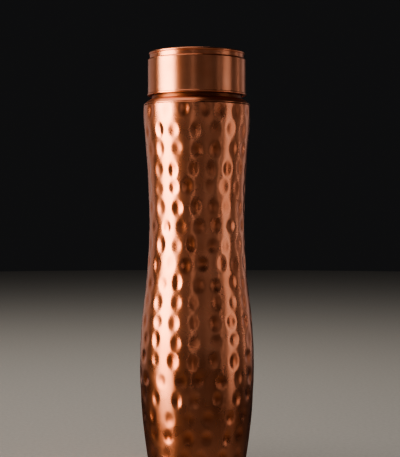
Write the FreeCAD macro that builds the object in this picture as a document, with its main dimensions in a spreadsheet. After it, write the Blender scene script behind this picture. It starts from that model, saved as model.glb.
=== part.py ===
import FreeCAD, Part
import math
import os
import re
import Sketcher

# A hammered copper water bottle with a screw cap, in millimetres. +Z is up, the origin is in the
# middle of the foot, on the surface that the bottle stands on, and the front faces -Y.
#
# The bottle is turned work: every piece is spun about the Z axis from a closed outline, and the
# screw thread is a ridge wound round the neck, with its partner wound inside the cap.

# Sizes that are set by themselves.
SIZES = {
    # body skin: a swell under the shoulder, a hollow waist, a full belly and a rounded foot
    "wall": 0.6,
    "body_height": 241.0,
    "swell_drop": 6.5,
    "shoulder_ledge": 5.5,
    "waist_hollow": 3.5,
    "waist_height": 165.0,
    "belly_swell": 6.0,
    "belly_height": 74.0,
    "belly_arc": 380.0,
    "foot_round": 5.0,
    "foot_land": 3.1,
    # how far along from waist to swell, and from waist to belly, the hollow turns into the bulge
    "upper_turn": 0.85,
    "lower_turn": 0.55,
    # base plate: a pressed pan that lies on the turned-in foot
    "base_sheet": 0.8,
    "base_rise": 2.5,
    "base_flange": 5.2,
    "base_slope": 2.0,
    # shoulder ring
    "shoulder_sheet": 0.9,
    "shoulder_rise": 3.8,
    "shoulder_bulge": 7.0,
    "shoulder_edge": 0.7,
    "shoulder_rim": 5.0,
    # neck: its outside under the thread, its wall, and its length above the shoulder
    "neck_radius": 27.3,
    "neck_wall": 1.1,
    "neck_length": 21.6,
    "neck_tail": 2.8,
    "lip_round": 0.4,
    "collar_width": 1.7,
    # screw thread
    "thread_lead": 5.0,
    "thread_depth": 1.2,
    "thread_root": 1.9,
    "thread_crest": 0.9,
    "thread_bury": 0.3,
    # plain lengths that the thread leaves: above the collar, and below the mouth
    "thread_start": 3.2,
    "thread_end": 5.3,
    "cap_thread_end": 3.3,
    # cap: its edge stands clear of the shoulder, and its top is hollow above the inner disc
    "cap_sheet": 0.6,
    "cap_stand": 2.2,
    "cap_headroom": 6.8,
    "cap_gap": 1.45,
    "cap_lip": 0.4,
    "cap_lip_height": 1.0,
    "groove_depth": 1.2,
    "groove_height": 2.5,
    "plate_rim": 1.6,
    "plate_overhang": 0.6,
    "plate_dish": 1.4,
    "plate_land": 3.45,
    "plate_ledge": 3.7,
    # screw sleeve, inner disc and seal of the cap
    "sleeve_sheet": 0.7,
    "sleeve_inset": 1.0,
    "hub_depth": 1.1,
    "hub_margin": 0.9,
    "seal_thickness": 1.6,
    "seal_edge": 0.3,
    # clearances
    "braze_gap": 0.05,
    "collar_gap": 0.8,
    "thread_gap": 0.35,
    "seal_gap": 0.3,
    "seal_side_gap": 0.45,
    "pan_gap": 0.4,
}

# Sizes that follow from the ones above.
FOLLOWING = {
    "collar_radius": "neck_radius + collar_width",
    "swell_radius": "collar_radius + shoulder_ledge",
    "swell_height": "body_height - swell_drop",
    "waist_radius": "swell_radius - waist_hollow",
    "belly_radius": "waist_radius + belly_swell",
    # centre of the foot's rounding, where the flat of the foot begins
    "foot_flat": "belly_radius - belly_arc + foot_reach",
    "foot_reach": "sqrt((belly_arc - foot_round)^2 - (belly_height - foot_round)^2)",
    "foot_opening": "foot_flat - foot_land",
    "shoulder_height": "body_height + shoulder_rise",
    "mouth_height": "shoulder_height + neck_length",
    "bore_radius": "neck_radius - neck_wall",
    "crest_radius": "neck_radius + thread_depth",
    "collar_height": "cap_stand + sleeve_inset - collar_gap",
    "thread_height": "shoulder_height + collar_height + thread_start",
    "neck_turns": "(mouth_height - thread_end - thread_height) / thread_lead",
    "cap_turns": "(mouth_height - cap_thread_end - thread_height) / thread_lead - 1 / 2",
    "sleeve_bore": "crest_radius + thread_gap",
    "sleeve_radius": "sleeve_bore + sleeve_sheet",
    "cap_bore": "sleeve_radius + cap_gap",
    "cap_radius": "cap_bore + cap_sheet",
    "cap_seat": "shoulder_height + cap_stand",
    "sleeve_height": "neck_length + seal_thickness - cap_stand",
    "cap_height": "sleeve_height + cap_headroom",
    "groove_radius": "cap_radius - groove_depth",
    "plate_seat": "cap_height - plate_rim",
    "cap_shoulder": "plate_seat - groove_height",
    "cap_opening": "groove_radius - plate_ledge",
    "hub_radius": "bore_radius - hub_margin",
}

doc = FreeCAD.newDocument("CopperBottle")
sheet = doc.addObject("Spreadsheet::Sheet", "Sizes")
for row, (alias, size) in enumerate(SIZES.items(), start=1):
    sheet.set(f"A{row}", alias)
    sheet.set(f"B{row}", str(size))
    sheet.setAlias(f"B{row}", alias)
doc.recompute()


def formula(text):
    """The expression that a piece is bound to, from words of the two tables above."""

    def cell(word):
        name = word.group()
        if name in FOLLOWING:
            return f"({formula(FOLLOWING[name])})"
        return f"Sizes.{name}" if name in SIZES else name

    return re.sub(r"[a-z_]+", cell, text)


def value(text):
    """The number that a formula gives now, to draw an outline before it is bound."""
    return float(sheet.evalExpression(formula(text)))


def sub_part(label, seat=None):
    """A named body; a piece of the cap is drawn from the cap's lower edge, so it gets a seat."""
    body = doc.addObject("PartDesign::Body", label)
    body.Label = label
    body.Placement = FreeCAD.Placement()
    if seat:
        body.setExpression("Placement.Base.z", formula(seat))
    return body


def draw_side(sketch, start, end, bend):
    """One side of an outline, straight or an arc; gives its index and its two end positions."""
    first, last = FreeCAD.Vector(*start, 0), FreeCAD.Vector(*end, 0)
    if bend is None:
        return sketch.addGeometry(Part.LineSegment(first, last)), 1, 2
    radius, turn = value(bend[0]), bend[1]
    chord = last - first
    left = FreeCAD.Vector(-chord.y, chord.x, 0).normalize()
    away = math.sqrt(max(radius**2 - (chord.Length / 2) ** 2, 0))
    centre = (first + last) * 0.5 + left * away * turn
    if turn < 0:
        first, last = last, first
    angles = [math.atan2(end.y - centre.y, end.x - centre.x) for end in (first, last)]
    circle = Part.Circle(centre, FreeCAD.Vector(0, 0, 1), radius)
    index = sketch.addGeometry(Part.ArcOfCircle(circle, *angles))
    return (index, 1, 2) if turn > 0 else (index, 2, 1)


def hold(sketch, name, rule, text):
    """Add a dimension to the sketch, named and bound to its formula."""
    index = sketch.addConstraint(Sketcher.Constraint(*rule, value(text)))
    sketch.renameConstraint(index, name)
    sketch.setExpression(f"Constraints.{name}", formula(text))


def outline(body, name, corners):
    """Draw a closed outline in the XZ plane of a body.

    Each corner is (radius, height), or (radius, height, (bend, turn)) where an arc of radius
    bend arrives at it, turning left for 1 and right for -1.
    """
    sketch = body.newObject("Sketcher::SketchObject", name)
    plane = next(item for item in body.Origin.OriginFeatures if item.Role == "XZ_Plane")
    sketch.AttachmentSupport = [(plane, "")]
    sketch.MapMode = "FlatFace"
    places = [(value(corner[0]), value(corner[1])) for corner in corners]
    sides = []
    for number, corner in enumerate(corners):
        bend = corner[2] if len(corner) > 2 else None
        sides.append(draw_side(sketch, places[number - 1], places[number], bend))
    for number, (side, begin, finish) in enumerate(sides):
        following, following_begin, _ = sides[(number + 1) % len(sides)]
        join = ("Coincident", side, finish, following, following_begin)
        sketch.addConstraint(Sketcher.Constraint(*join))
        across, up = corners[number][:2]
        if across == "0":
            sketch.addConstraint(Sketcher.Constraint("PointOnObject", side, finish, -2))
        else:
            hold(sketch, f"across_{number}", ("DistanceX", -1, 1, side, finish), across)
        if up == "0":
            sketch.addConstraint(Sketcher.Constraint("PointOnObject", side, finish, -1))
        else:
            hold(sketch, f"up_{number}", ("DistanceY", -1, 1, side, finish), up)
        if len(corners[number]) > 2:
            hold(sketch, f"bend_{number}", ("Radius", side), corners[number][2][0])
    return sketch


def spin(body, corners):
    """Spin an outline about the Z axis into a solid."""
    sketch = outline(body, body.Label + "_outline", corners)
    turned = body.newObject("PartDesign::Revolution", body.Label + "_spun")
    turned.Profile = sketch
    turned.ReferenceAxis = (sketch, ["V_Axis"])
    turned.Angle = 360
    return turned


def wind(body, start, turns, root, crest):
    """Wind a thread ridge round the Z axis, from its root radius to its crest radius."""
    sketch = outline(
        body,
        body.Label + "_ridge",
        [
            (root, f"{start} - thread_root / 2"),
            (crest, f"{start} - thread_crest / 2"),
            (crest, f"{start} + thread_crest / 2"),
            (root, f"{start} + thread_root / 2"),
        ],
    )
    ridge = body.newObject("PartDesign::AdditiveHelix", body.Label + "_thread")
    ridge.Profile = sketch
    ridge.ReferenceAxis = (sketch, ["V_Axis"])
    ridge.Mode = "pitch-turns-angle"
    ridge.setExpression("Pitch", formula("thread_lead"))
    ridge.setExpression("Turns", formula(turns))
    return ridge


def curve_change(other, share, inset):
    """Where the waist's hollow turns into the bulge `other`, and the radii of the arcs there.

    Both arcs stand upright at their widest or narrowest, so they share one tangent at a point
    on the straight line between the two. The inset moves the skin inwards.
    """
    rise = f"({other}_height - waist_height)"
    swell = f"({other}_radius - waist_radius)"
    both = f"(({rise}^2 + {swell}^2) / (2 * {swell}))"
    across = f"waist_radius + {share} * {swell} - {inset} * (1 - {swell} / {both})"
    up = f"waist_height + {share} * {rise} + {inset} * {rise} / {both}"
    return (across, up), f"{share} * {both} + {inset}", f"(1 - {share}) * {both} - {inset}"


def skin(inset):
    """The skin from its top edge down to the foot's opening: corners, and the arcs between."""
    upper, upper_waist, swell_arc = curve_change("swell", "upper_turn", inset)
    lower, lower_waist, belly_top = curve_change("belly", "lower_turn", inset)
    foot_share = f"((belly_arc - {inset}) / (belly_arc - foot_round))"
    corners = [
        (top_edge(inset), "body_height"),
        upper,
        (f"waist_radius - {inset}", "waist_height"),
        lower,
        (f"belly_radius - {inset}", "belly_height"),
        (
            f"belly_radius - belly_arc + foot_reach * {foot_share}",
            f"belly_height - (belly_height - foot_round) * {foot_share}",
        ),
        ("foot_flat", inset),
        ("foot_opening", inset),
    ]
    arcs = [
        (swell_arc, -1),
        (upper_waist, 1),
        (lower_waist, 1),
        (belly_top, -1),
        (f"belly_arc - {inset}", -1),
        (f"foot_round - {inset}", -1),
        None,
    ]
    return corners, arcs


def top_edge(inset):
    """Radius of the skin at its top edge, a little way above its widest place there."""
    swell_arc = curve_change("swell", "upper_turn", inset)[2]
    return f"swell_radius - {inset} - ({swell_arc}) + sqrt(({swell_arc})^2 - swell_drop^2)"


def make_body_shell():
    corners, arcs = skin("0")
    outside = [corners[0]]
    for corner, arc in zip(corners[1:], arcs):
        outside.append(corner + (arc,) if arc else corner)
    corners, arcs = skin("wall")
    inside = [corners[-1]]
    for corner, arc in zip(corners[-2::-1], arcs[::-1]):
        inside.append(corner + ((arc[0], -arc[1]),) if arc else corner)
    body = sub_part("body_shell")
    spin(body, outside + inside)
    return body


def make_base_plate():
    edge = "foot_flat - pan_gap"
    knee = f"{edge} - base_flange"
    panel = f"{knee} - base_slope"
    body = sub_part("base_plate")
    spin(
        body,
        [
            (edge, "wall"),
            (edge, "wall + base_sheet"),
            (knee, "wall + base_sheet"),
            (panel, "wall + base_sheet + base_rise"),
            ("0", "wall + base_sheet + base_rise"),
            ("0", "wall + base_rise"),
            (panel, "wall + base_rise"),
            (knee, "wall"),
        ],
    )
    return body


def make_shoulder_ring():
    outer = top_edge("0")
    rim = f"{top_edge('wall')} - braze_gap"
    hole = "neck_radius + braze_gap"
    under_arc = ("shoulder_bulge - shoulder_sheet", -1)
    body = sub_part("shoulder_ring")
    spin(
        body,
        [
            (outer, "body_height"),
            (outer, "body_height + shoulder_edge / 2"),
            (f"{outer} - shoulder_edge", "body_height + shoulder_edge"),
            ("collar_radius", "shoulder_height", ("shoulder_bulge", 1)),
            (hole, "shoulder_height"),
            (hole, "shoulder_height - shoulder_sheet"),
            ("collar_radius", "shoulder_height - shoulder_sheet"),
            (f"{rim} - shoulder_sheet", "body_height - shoulder_sheet / 2", under_arc),
            (f"{rim} - shoulder_sheet", "body_height - shoulder_rim"),
            (rim, "body_height - shoulder_rim"),
            (rim, "body_height"),
        ],
    )
    return body


def make_neck_sleeve():
    body = sub_part("neck_sleeve")
    spin(
        body,
        [
            ("bore_radius", "shoulder_height - neck_tail"),
            ("neck_radius", "shoulder_height - neck_tail"),
            ("neck_radius", "shoulder_height"),
            ("collar_radius", "shoulder_height"),
            ("collar_radius", "shoulder_height + collar_height - lip_round"),
            ("collar_radius - lip_round", "shoulder_height + collar_height", ("lip_round", 1)),
            ("neck_radius", "shoulder_height + collar_height"),
            ("neck_radius", "mouth_height - lip_round"),
            ("neck_radius - lip_round", "mouth_height", ("lip_round", 1)),
            ("bore_radius + lip_round", "mouth_height"),
            ("bore_radius", "mouth_height - lip_round", ("lip_round", 1)),
        ],
    )
    root = "neck_radius - thread_bury"
    wind(body, "thread_height", "neck_turns", root, "crest_radius")
    return body


def make_cap_skirt():
    lip = "cap_radius + cap_lip"
    body = sub_part("cap_skirt", "cap_seat")
    spin(
        body,
        [
            ("cap_bore", "0"),
            (f"{lip} - cap_lip", "0"),
            (lip, "cap_lip", ("cap_lip", 1)),
            (lip, "cap_lip_height"),
            ("cap_radius", "cap_lip_height + cap_lip"),
            ("cap_radius", "cap_shoulder - groove_depth"),
            ("groove_radius", "cap_shoulder", ("groove_depth", 1)),
            ("groove_radius", "plate_seat"),
            ("cap_opening", "plate_seat"),
            ("cap_opening", "plate_seat - cap_sheet"),
            ("groove_radius - cap_sheet", "plate_seat - cap_sheet"),
            ("groove_radius - cap_sheet", "cap_shoulder - cap_sheet"),
            ("groove_radius", "cap_shoulder - cap_sheet"),
            ("cap_bore", "cap_shoulder - groove_depth", ("groove_depth - cap_sheet", -1)),
        ],
    )
    return body


def make_cap_top_plate():
    rim = "groove_radius + plate_overhang"
    middle = "plate_rim / 2"
    body = sub_part("cap_top_plate", "cap_seat")
    dish_top = "cap_height - plate_dish"
    spin(
        body,
        [
            (f"{rim} - {middle}", "plate_seat"),
            (rim, f"plate_seat + {middle}", (middle, 1)),
            (f"{rim} - {middle}", "cap_height", (middle, 1)),
            (f"{rim} - plate_land", "cap_height"),
            ("cap_opening - pan_gap", dish_top),
            ("0", dish_top),
            ("0", f"{dish_top} - cap_sheet"),
            ("cap_opening - pan_gap - plate_dish", f"{dish_top} - cap_sheet"),
            ("cap_opening - pan_gap", "plate_seat"),
        ],
    )
    return body


def make_cap_thread_sleeve():
    flange = "cap_bore - braze_gap"
    body = sub_part("cap_thread_sleeve", "cap_seat")
    spin(
        body,
        [
            ("sleeve_bore + lip_round", "sleeve_inset", ("lip_round", 1)),
            (flange, "sleeve_inset"),
            (flange, "sleeve_inset + sleeve_sheet"),
            ("sleeve_radius", "sleeve_inset + sleeve_sheet"),
            ("sleeve_radius", "sleeve_height"),
            ("sleeve_bore", "sleeve_height"),
            ("sleeve_bore", "sleeve_inset + lip_round"),
        ],
    )
    start = "thread_height + thread_lead / 2 - cap_seat"
    wind(body, start, "cap_turns", "sleeve_bore + thread_bury", "sleeve_bore - thread_depth")
    return body


def make_cap_inner_disc():
    body = sub_part("cap_inner_disc", "cap_seat")
    spin(
        body,
        [
            ("hub_radius", "sleeve_height - hub_depth"),
            ("hub_radius", "sleeve_height"),
            ("sleeve_radius", "sleeve_height"),
            ("sleeve_radius", "sleeve_height + cap_sheet"),
            ("hub_radius - cap_sheet", "sleeve_height + cap_sheet"),
            ("hub_radius - cap_sheet", "sleeve_height - hub_depth + cap_sheet"),
            ("0", "sleeve_height - hub_depth + cap_sheet"),
            ("0", "sleeve_height - hub_depth"),
        ],
    )
    return body


def make_cap_seal():
    inner = "hub_radius + seal_gap"
    outer = "sleeve_bore - seal_side_gap"
    under = "sleeve_height - seal_thickness"
    body = sub_part("cap_seal", "cap_seat")
    spin(
        body,
        [
            (f"{inner} + seal_edge", under, ("seal_edge", 1)),
            (f"{outer} - seal_edge", under),
            (outer, f"{under} + seal_edge", ("seal_edge", 1)),
            (outer, "sleeve_height - seal_edge"),
            (f"{outer} - seal_edge", "sleeve_height", ("seal_edge", 1)),
            (f"{inner} + seal_edge", "sleeve_height"),
            (inner, "sleeve_height - seal_edge", ("seal_edge", 1)),
            (inner, f"{under} + seal_edge"),
        ],
    )
    return body


pieces = [
    make_body_shell(),
    make_base_plate(),
    make_shoulder_ring(),
    make_neck_sleeve(),
    make_cap_skirt(),
    make_cap_top_plate(),
    make_cap_thread_sleeve(),
    make_cap_inner_disc(),
    make_cap_seal(),
]
doc.recompute()

for item in doc.Objects:
    if "Invalid" in item.State or "Error" in item.State:
        raise RuntimeError(f"{item.Label} failed: {item.State}")
for piece in pieces:
    shape = piece.Shape
    if shape.isNull() or not shape.isValid() or len(shape.Solids) != 1:
        raise RuntimeError(f"{piece.Label} is not one good solid")

os.makedirs("parts", exist_ok=True)
for piece in pieces:
    piece.Shape.exportStep(f"parts/{piece.Label}.step")
    print(f"{piece.Label}: {piece.Shape.Volume / 1000:.2f} cm3")
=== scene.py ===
import math
import random

import bmesh
import bpy
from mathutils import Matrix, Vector, noise


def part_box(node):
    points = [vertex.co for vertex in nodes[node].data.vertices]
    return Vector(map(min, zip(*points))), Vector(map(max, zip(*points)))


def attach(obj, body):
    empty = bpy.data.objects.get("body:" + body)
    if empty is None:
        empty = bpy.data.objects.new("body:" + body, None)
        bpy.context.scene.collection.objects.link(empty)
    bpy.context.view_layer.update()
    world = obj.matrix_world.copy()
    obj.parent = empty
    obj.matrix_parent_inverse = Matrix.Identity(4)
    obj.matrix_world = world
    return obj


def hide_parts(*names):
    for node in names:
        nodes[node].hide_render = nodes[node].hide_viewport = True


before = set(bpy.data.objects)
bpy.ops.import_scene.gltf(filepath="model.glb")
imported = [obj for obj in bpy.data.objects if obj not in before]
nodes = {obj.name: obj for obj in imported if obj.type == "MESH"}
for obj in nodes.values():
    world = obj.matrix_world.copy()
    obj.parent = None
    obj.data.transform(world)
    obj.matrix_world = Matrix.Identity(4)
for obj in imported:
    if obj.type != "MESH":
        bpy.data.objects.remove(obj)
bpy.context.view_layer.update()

# A hammered copper water bottle. Its skin is beaten by hand: rows of oval hammer marks sunk into
# a smooth waisted shell. The cap is spun copper with lathe lines. Metres, +Z up, front faces -Y.

MM = 0.001

# ---------------------------------------------------------------- sizes of the hammered skin
BODY_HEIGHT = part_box("body_shell")[1][2]
BELLY_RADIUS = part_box("body_shell")[1][0]
BELLY_HEIGHT = 74 * MM
BELLY_ARC = 380 * MM
WAIST_RADIUS = BELLY_RADIUS - 6 * MM
WAIST_HEIGHT = 165 * MM
SWELL_RADIUS = WAIST_RADIUS + 3.5 * MM
SWELL_HEIGHT = BODY_HEIGHT - 6.5 * MM
UPPER_TURN = 0.85
LOWER_TURN = 0.55
FOOT_ROUND = 5 * MM
FOOT_LAND = 3.1 * MM
WALL = 0.6 * MM

# hammer marks: how far apart the rows are, how many marks to a turn, and how big one is
MARK_ROWS = 20
MARK_PITCH = 12.0 * MM
FIRST_ROW_DROP = 5.4 * MM
MARKS_PER_TURN = 17
MARK_HALF_WIDTH = 4.5 * MM
MARK_HALF_HEIGHT = 6.4 * MM
MARK_DEPTH = 0.7 * MM
RIM_SOFTNESS = 2
PLAIN_EDGE = 1.6 * MM
HAND_UNEVENNESS = 0.18 * MM

# how finely the skin is meshed: steps to a turn, rows up each face, steps round the foot
AROUND = 264
OUTSIDE_ROW = 0.95 * MM
INSIDE_ROW = 3.0 * MM
FOOT_STEPS = 6


def arcs_between(radius, height, turn):
    """Radii of the waist's hollow arc and the bulge's arc, and the height where they meet."""
    rise, swell = height - WAIST_HEIGHT, radius - WAIST_RADIUS
    both = (rise**2 + swell**2) / (2 * swell)
    return turn * both, (1 - turn) * both, WAIST_HEIGHT + turn * rise


UPPER_HOLLOW, SWELL_ARC, UPPER_CHANGE = arcs_between(SWELL_RADIUS, SWELL_HEIGHT, UPPER_TURN)
LOWER_HOLLOW, BELLY_TOP_ARC, LOWER_CHANGE = arcs_between(BELLY_RADIUS, BELLY_HEIGHT, LOWER_TURN)
FOOT_REACH = math.sqrt((BELLY_ARC - FOOT_ROUND) ** 2 - (BELLY_HEIGHT - FOOT_ROUND) ** 2)
FOOT_FLAT = BELLY_RADIUS - BELLY_ARC + FOOT_REACH
FOOT_LEAN = math.asin((BELLY_HEIGHT - FOOT_ROUND) / (BELLY_ARC - FOOT_ROUND))


def sag(arc, off):
    """How far an arc of this radius has fallen away, this far off its middle."""
    return arc - math.sqrt(arc**2 - off**2)


def side_radius(height):
    """Radius of the smooth skin, before it is hammered, above the rounding of the foot."""
    if height > UPPER_CHANGE:
        return SWELL_RADIUS - sag(SWELL_ARC, height - SWELL_HEIGHT)
    if height > WAIST_HEIGHT:
        return WAIST_RADIUS + sag(UPPER_HOLLOW, height - WAIST_HEIGHT)
    if height > LOWER_CHANGE:
        return WAIST_RADIUS + sag(LOWER_HOLLOW, height - WAIST_HEIGHT)
    arc = BELLY_TOP_ARC if height > BELLY_HEIGHT else BELLY_ARC
    return BELLY_RADIUS - sag(arc, height - BELLY_HEIGHT)


def wall_line(inset, row):
    """(radius, height) down one face of the wall, from its top edge to the foot's opening."""
    foot_arc = FOOT_ROUND - inset
    foot_top = FOOT_ROUND - foot_arc * math.sin(FOOT_LEAN)
    rows = round((BODY_HEIGHT - foot_top) / row)
    line = []
    for step in range(rows):
        height = BODY_HEIGHT + (foot_top - BODY_HEIGHT) * step / rows
        line.append((side_radius(height) - inset, height))
    for step in range(FOOT_STEPS + 1):
        turn = FOOT_LEAN + (math.pi / 2 - FOOT_LEAN) * step / FOOT_STEPS
        across = FOOT_FLAT + foot_arc * math.cos(turn)
        line.append((across, FOOT_ROUND - foot_arc * math.sin(turn)))
    line.append((FOOT_FLAT - FOOT_LAND, inset))
    return line


def hammer_marks():
    """Every hammer mark as (angle, height, half width, half height, depth), in rows."""
    hand = random.Random(29)
    drift = 0.0
    rows = []
    for number in range(MARK_ROWS):
        height = BODY_HEIGHT - FIRST_ROW_DROP - number * MARK_PITCH
        drift += hand.uniform(-0.4, 0.4) / MARKS_PER_TURN * math.tau
        row = []
        for place in range(MARKS_PER_TURN):
            angle = (place + hand.uniform(-0.13, 0.13)) * math.tau / MARKS_PER_TURN + drift
            row.append(
                (
                    angle,
                    height + hand.uniform(-0.9, 0.9) * MM,
                    MARK_HALF_WIDTH * hand.uniform(0.84, 1.1),
                    MARK_HALF_HEIGHT * hand.uniform(0.82, 1.06),
                    MARK_DEPTH * hand.uniform(0.5, 1.2),
                )
            )
        rows.append(row)
    return rows


def sunk(angle, height, radius, rows):
    """How deep the hammered skin lies under the smooth one."""
    nearest = (BODY_HEIGHT - FIRST_ROW_DROP - height) / MARK_PITCH
    depth = 0.0
    for number in range(max(0, int(nearest) - 1), min(MARK_ROWS, int(nearest) + 3)):
        for at, level, half_width, half_height, deep in rows[number]:
            off = (angle - at + math.pi) % math.tau - math.pi
            far = (off * radius / half_width) ** 2 + ((height - level) / half_height) ** 2
            if far < 1:
                depth += deep * (1 - far) ** RIM_SOFTNESS
    place = Vector((math.cos(angle), math.sin(angle), 0)) * radius
    place.z = height
    wander = (noise.noise(place / (11 * MM)) + 1) / 2
    edge = min(max((BODY_HEIGHT - height) / PLAIN_EDGE, 0), 1)
    foot = min(max((height - FOOT_ROUND / 2) / FOOT_ROUND, 0), 1)
    return (depth + wander * HAND_UNEVENNESS) * edge * foot


def finish_mesh(mesh_maker, name):
    """Turn a bmesh into a smooth-shaded object at the origin."""
    mesh = bpy.data.meshes.new(name)
    mesh_maker.to_mesh(mesh)
    mesh_maker.free()
    mesh.polygons.foreach_set("use_smooth", [True] * len(mesh.polygons))
    piece = bpy.data.objects.new(name, mesh)
    bpy.context.scene.collection.objects.link(piece)
    return piece


def make_hammered_shell():
    """Spin the closed outline of the wall, then beat the hammer marks into both its faces."""
    shell = bmesh.new()
    line = wall_line(0, OUTSIDE_ROW) + wall_line(WALL, INSIDE_ROW)[::-1]
    points = [shell.verts.new((radius, 0, height)) for radius, height in line]
    edges = [shell.edges.new(pair) for pair in zip(points, points[1:] + points[:1])]
    bmesh.ops.spin(
        shell,
        geom=points + edges,
        cent=(0, 0, 0),
        axis=(0, 0, 1),
        angle=math.tau,
        steps=AROUND,
        use_merge=True,
    )
    bmesh.ops.recalc_face_normals(shell, faces=shell.faces)
    rows = hammer_marks()
    # how deep each point is sunk, kept for the painted shade in the hammer marks
    depth_layer = shell.verts.layers.float.new("sunk")
    for vertex in shell.verts:
        across = vertex.co.xy
        angle = math.atan2(across.y, across.x)
        depth = sunk(angle, vertex.co.z, across.length, rows)
        vertex[depth_layer] = depth / MARK_DEPTH
        across *= 1 - depth / across.length
        vertex.co.xy = across
    return finish_mesh(shell, "hammered_shell")


# ---------------------------------------------------------------- materials
def linear(code):
    """A hex sRGB colour as linear RGBA."""
    parts = [int(code[i : i + 2], 16) / 255 for i in (1, 3, 5)]
    return [c / 12.92 if c <= 0.04045 else ((c + 0.055) / 1.055) ** 2.4 for c in parts] + [1]


def add(tree, kind, settings, links=()):
    """Add a node: settings go to its inputs or, failing that, to its properties."""
    node = tree.nodes.new(kind)
    for name, setting in settings.items():
        if isinstance(name, int) or name in node.inputs:
            node.inputs[name].default_value = setting
        else:
            setattr(node, name, setting)
    for name, source in dict(links).items():
        tree.links.new(source, node.inputs[name])
    return node


def new_material(name):
    """An empty material, its node tree, and where a point is on the piece in metres."""
    material = bpy.data.materials.new(name)
    material.use_nodes = True
    tree = material.node_tree
    tree.nodes.clear()
    place = add(tree, "ShaderNodeTexCoord", {}).outputs["Object"]
    return material, tree, place


def finish_material(tree, shader):
    """Show the shader on the surface."""
    add(tree, "ShaderNodeOutputMaterial", {}, {"Surface": shader.outputs["BSDF"]})


def ramp(tree, source, stops, interpolation="LINEAR"):
    """A colour ramp from (position, colour) stops."""
    node = add(tree, "ShaderNodeValToRGB", {}, {"Fac": source})
    elements = node.color_ramp.elements
    node.color_ramp.interpolation = interpolation
    elements[0].position, elements[0].color = stops[0]
    elements[1].position, elements[1].color = stops[-1]
    for position, colour in stops[1:-1]:
        elements.new(position).color = colour
    return node.outputs["Color"]


def hammered_copper():
    """Hand-beaten copper, buffed on a wheel, with painted shade: the hammer marks are painted a little
    darker and browner than the lands, for the shade that falls in them.

    The buffing runs round the bottle, so highlights smear up and down. The buffing grain is
    really under 0.1 mm, and is drawn at 0.9 mm.
    """
    material, tree, place = new_material("hammered_copper")
    patches = add(
        tree, "ShaderNodeTexNoise", {"Scale": 1 / (28 * MM), "Detail": 3.0, "Roughness": 0.6},
        {"Vector": place},
    ).outputs["Fac"]
    tone = ramp(tree, patches, [(0.3, linear("#DF8965")), (0.7, linear("#ED9B78"))])
    sunk_in = add(tree, "ShaderNodeAttribute", {"attribute_name": "sunk"}).outputs["Fac"]
    # painted shade: the copper tone is multiplied by a pale brown as deep as each hammer mark is sunk
    tone_with_painted_shade = add(
        tree, "ShaderNodeMix", {"data_type": "RGBA", "blend_type": "MULTIPLY", 7: linear("#EEDDD3")},
        {0: sunk_in, 6: tone},
    ).outputs[2]
    buffing = add(
        tree, "ShaderNodeTexNoise", {"Scale": 1 / (9 * MM), "Detail": 1.0},
        {"Vector": place},
    ).outputs["Fac"]
    rough = add(
        tree, "ShaderNodeMapRange", {"From Min": 0.3, "From Max": 0.7, "To Min": 0.25, "To Max": 0.31},
        {"Value": buffing},
    ).outputs["Result"]
    grain = add(
        tree, "ShaderNodeTexNoise", {"Scale": 1 / (0.9 * MM), "Detail": 3.0}, {"Vector": place}
    ).outputs["Fac"]
    bump = add(
        tree, "ShaderNodeBump", {"Strength": 0.03, "Distance": 0.02 * MM}, {"Height": grain}
    ).outputs["Normal"]
    around = add(tree, "ShaderNodeTangent", {"direction_type": "RADIAL", "axis": "Z"})
    shader = add(
        tree, "ShaderNodeBsdfPrincipled",
        {"Metallic": 1.0, "Anisotropic": 0.5, "Anisotropic Rotation": 0.25},
        {"Base Color": tone_with_painted_shade, "Roughness": rough, "Normal": bump, "Tangent": around.outputs[0]},
    )
    finish_material(tree, shader)
    return material


def turned_copper(name, tone_low, tone_high, roughness, line_width, line_depth):
    """Spun or turned copper: fine rings left by the tool, which smear highlights up and down.

    The rings are really 0.1 to 0.2 mm apart, and are drawn as coarse as line_width says.
    """
    material, tree, place = new_material(name)
    parts = add(tree, "ShaderNodeSeparateXYZ", {}, {"Vector": place}).outputs
    flat = add(tree, "ShaderNodeCombineXYZ", {}, {"X": parts["X"], "Y": parts["Y"]}).outputs[0]
    reach = add(
        tree, "ShaderNodeVectorMath", {"operation": "LENGTH"}, {0: flat}
    ).outputs["Value"]
    rings = add(tree, "ShaderNodeCombineXYZ", {}, {"X": reach, "Y": parts["Z"]}).outputs[0]
    lines = add(
        tree, "ShaderNodeTexNoise", {"Scale": 1 / line_width, "Detail": 4.0, "Roughness": 0.7},
        {"Vector": rings},
    ).outputs["Fac"]
    patches = add(
        tree, "ShaderNodeTexNoise", {"Scale": 1 / (16 * MM), "Detail": 2.0}, {"Vector": place}
    ).outputs["Fac"]
    tone = ramp(tree, patches, [(0.3, linear(tone_low)), (0.7, linear(tone_high))])
    rough = add(
        tree, "ShaderNodeMapRange",
        {"From Min": 0.25, "From Max": 0.75, "To Min": roughness - 0.05, "To Max": roughness + 0.07},
        {"Value": lines},
    ).outputs["Result"]
    bump = add(
        tree, "ShaderNodeBump", {"Strength": 0.5, "Distance": line_depth}, {"Height": lines}
    ).outputs["Normal"]
    around = add(tree, "ShaderNodeTangent", {"direction_type": "RADIAL", "axis": "Z"})
    shader = add(
        tree, "ShaderNodeBsdfPrincipled",
        {"Metallic": 1.0, "Anisotropic": 0.75, "Anisotropic Rotation": 0.25},
        {"Base Color": tone, "Roughness": rough, "Normal": bump, "Tangent": around.outputs[0]},
    )
    finish_material(tree, shader)
    return material


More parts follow.
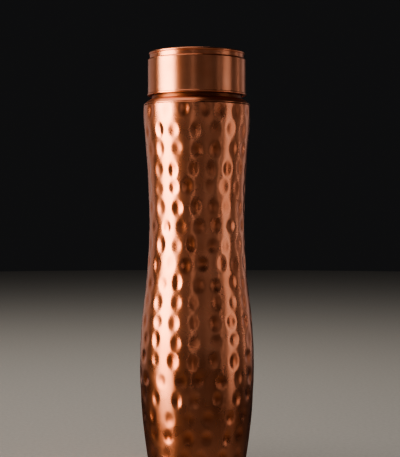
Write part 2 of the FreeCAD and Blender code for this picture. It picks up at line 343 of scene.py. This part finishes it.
def silicone():
    """Moulded food-grade silicone: milky, soft and matt."""
    material, tree, place = new_material("silicone")
    cloud = add(
        tree, "ShaderNodeTexNoise", {"Scale": 1 / (4 * MM), "Detail": 2.0}, {"Vector": place}
    ).outputs["Fac"]
    tone = ramp(tree, cloud, [(0.35, linear("#DCD8CC")), (0.65, linear("#E8E5DC"))])
    bump = add(
        tree, "ShaderNodeBump", {"Strength": 0.3, "Distance": 0.02 * MM}, {"Height": cloud}
    ).outputs["Normal"]
    shader = add(
        tree, "ShaderNodeBsdfPrincipled",
        {"Roughness": 0.5, "IOR": 1.41, "Subsurface Weight": 0.3, "Subsurface Scale": 0.002},
        {"Base Color": tone, "Normal": bump},
    )
    finish_material(tree, shader)
    return material


def studio_floor():
    """Pale matt board."""
    material, tree, place = new_material("studio_floor")
    fibre = add(
        tree, "ShaderNodeTexNoise", {"Scale": 1 / (3 * MM), "Detail": 3.0}, {"Vector": place}
    ).outputs["Fac"]
    tone = ramp(tree, fibre, [(0.3, linear("#B9B6B1")), (0.7, linear("#C2BFBA"))])
    shader = add(
        tree, "ShaderNodeBsdfPrincipled", {"Roughness": 0.75}, {"Base Color": tone}
    )
    finish_material(tree, shader)
    return material


def wear(piece, material):
    """Give a piece this material alone."""
    piece.data.materials.clear()
    piece.data.materials.append(material)


# ---------------------------------------------------------------- the object
shell = make_hammered_shell()
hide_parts("body_shell")
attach(shell, "bottle")
wear(shell, hammered_copper())

# spun and polished; turned, dull from the tool and painted darker for the shade in the recess under
# the cap; pressed from sheet
spun = turned_copper("spun_copper", "#E28E6A", "#F0A07E", 0.34, 0.5 * MM, 0.02 * MM)
# painted shade: this copper is painted darker and browner for the shaded recess under the cap, and is
# rougher for the dull turned finish
turned = turned_copper("turned_copper", "#8E553C", "#A1664A", 0.5, 0.8 * MM, 0.03 * MM)
pressed = turned_copper("pressed_copper", "#CF8160", "#DC9070", 0.4, 2.0 * MM, 0.01 * MM)
for node in ("shoulder_ring", "cap_skirt", "cap_top_plate"):
    wear(nodes[node], spun)
for node in ("neck_sleeve", "cap_thread_sleeve"):
    wear(nodes[node], turned)
for node in ("base_plate", "cap_inner_disc"):
    wear(nodes[node], pressed)
wear(nodes["cap_seal"], silicone())

# ---------------------------------------------------------------- floor, light and camera
FLOOR_REACH = 2.2
ROOM_STRENGTH = 0.5
STEEPEST_SINE = -0.75
DARK_ROOM = linear("#2B2B2C")
LENS = 90.6

floor_maker = bmesh.new()
bmesh.ops.create_circle(floor_maker, cap_ends=True, radius=FLOOR_REACH, segments=64)
floor = finish_mesh(floor_maker, "floor")
wear(floor, studio_floor())
# the copper mirrors the room below the horizon in place of the near floor
floor.visible_glossy = False

world = bpy.data.worlds.new("studio")
bpy.context.scene.world = world
bpy.context.scene.view_settings.look = "AgX - Medium High Contrast"
world.use_nodes = True
world_tree = world.node_tree
backdrop = world_tree.nodes["Background"]
toward = add(world_tree, "ShaderNodeTexCoord", {}).outputs["Generated"]
up = add(world_tree, "ShaderNodeSeparateXYZ", {}, {"Vector": toward}).outputs["Z"]
# from a pale floor seen steeply, through the dim far floor, to a dark backdrop
steep = add(
    world_tree, "ShaderNodeMapRange", {"From Min": STEEPEST_SINE, "From Max": 0.0}, {"Value": up}
).outputs["Result"]
stops = [(0.0, linear("#B5ADA3")), (0.42, linear("#8B837B")), (0.68, DARK_ROOM), (1.0, DARK_ROOM)]
world_tree.links.new(ramp(world_tree, steep, stops), backdrop.inputs["Color"])
backdrop.inputs["Strength"].default_value = ROOM_STRENGTH

# what each lamp may light
bottle_only = bpy.data.collections.new("bottle_only")
for piece in [shell] + [part for part in nodes.values() if part.type == "MESH"]:
    if piece.name not in bottle_only.objects:
        bottle_only.objects.link(piece)
floor_only = bpy.data.collections.new("floor_only")
floor_only.objects.link(floor)


def softbox(
    name, azimuth, distance, width, height, middle, power, colour="#FFFFFF", aimed=None,
    lights=bottle_only,
):
    """A soft rectangular light. Azimuth 0 is in front, +90 right. It is level unless aimed.

    Width, height, distance and the middle's height are in metres, and power in watts. Most are
    flagged off the floor, so that their edges draw no lines there.
    """
    light = bpy.data.lights.new(name, "AREA")
    light.shape = "RECTANGLE"
    light.size, light.size_y = width, height
    light.energy = power
    light.color = linear(colour)[:3]
    lamp = bpy.data.objects.new(name, light)
    turn = math.radians(azimuth)
    lamp.location = (distance * math.sin(turn), -distance * math.cos(turn), middle)
    aim = Vector((0, 0, middle if aimed is None else aimed)) - lamp.location
    lamp.rotation_euler = aim.to_track_quat("-Z", "Y").to_euler()
    lamp.visible_camera = False
    lamp.light_linking.receiver_collection = lights
    bpy.context.scene.collection.objects.link(lamp)


# the key on the left narrows downwards, and a card on the floor lifts the foot
softbox("key_light", -75, 0.62, 0.44, 0.22, 0.41, 4.1, "#FFF4E4")
softbox("key_light_mid", -69.5, 0.62, 0.37, 0.21, 0.195, 2.55, "#FFF1D8")
softbox("key_light_low", -64, 0.62, 0.32, 0.18, 0.0, 1.15, "#FFEBD2")
softbox("floor_bounce", -25, 0.38, 0.9, 0.5, 0.004, 0.03, "#FFF2E0", aimed=20)
# fill and rims
softbox("fill_light", 73, 0.75, 0.27, 0.5, 0.17, 0.4)
softbox("left_rim_light", -138, 0.9, 0.7, 0.5, 0.2, 0.4)
softbox("right_rim_light", 122, 0.9, 1.0, 0.5, 0.2, 0.25)
# from above
softbox("top_left_light", -100, 0.3, 0.9, 0.8, 1.0, 3.2, "#FFF6EC", aimed=0.25)
softbox("floor_light", -120, 0.25, 0.9, 0.9, 1.15, 9, "#FFF8F0", aimed=0, lights=floor_only)
# a wide dim front, and thin strips whose reflections run round the hammer marks
softbox("front_light", 5, 1.3, 3.2, 0.34, 0.25, 0.72)
softbox("front_left_strip", -9, 1.2, 0.04, 0.6, 0.25, 0.12)
softbox("front_right_card", 26, 1.2, 0.4, 0.6, 0.25, 0.06)
softbox("fill_edge_strip", 52, 0.75, 0.02, 0.5, 0.17, 0.05)
softbox("right_strip", 111, 0.8, 0.022, 0.5, 0.2, 0.08)
softbox("right_back_strip", 136, 0.9, 0.2, 0.5, 0.2, 0.1)

EYE_HEIGHT = 180 * MM
EYE_DISTANCE = 745 * MM
EYE_ASIDE = 2 * MM
LOOKED_AT = 161.4 * MM
camera = bpy.data.cameras.new("camera")
camera.lens = LENS
camera.clip_start = 0.01
eye = bpy.data.objects.new("camera", camera)
eye.location = (EYE_ASIDE, -EYE_DISTANCE, EYE_HEIGHT)
look_down = math.atan((EYE_HEIGHT - LOOKED_AT) / EYE_DISTANCE)
eye.rotation_euler = (math.pi / 2 - look_down, 0, 0)
bpy.context.scene.collection.objects.link(eye)
bpy.context.scene.camera = eye
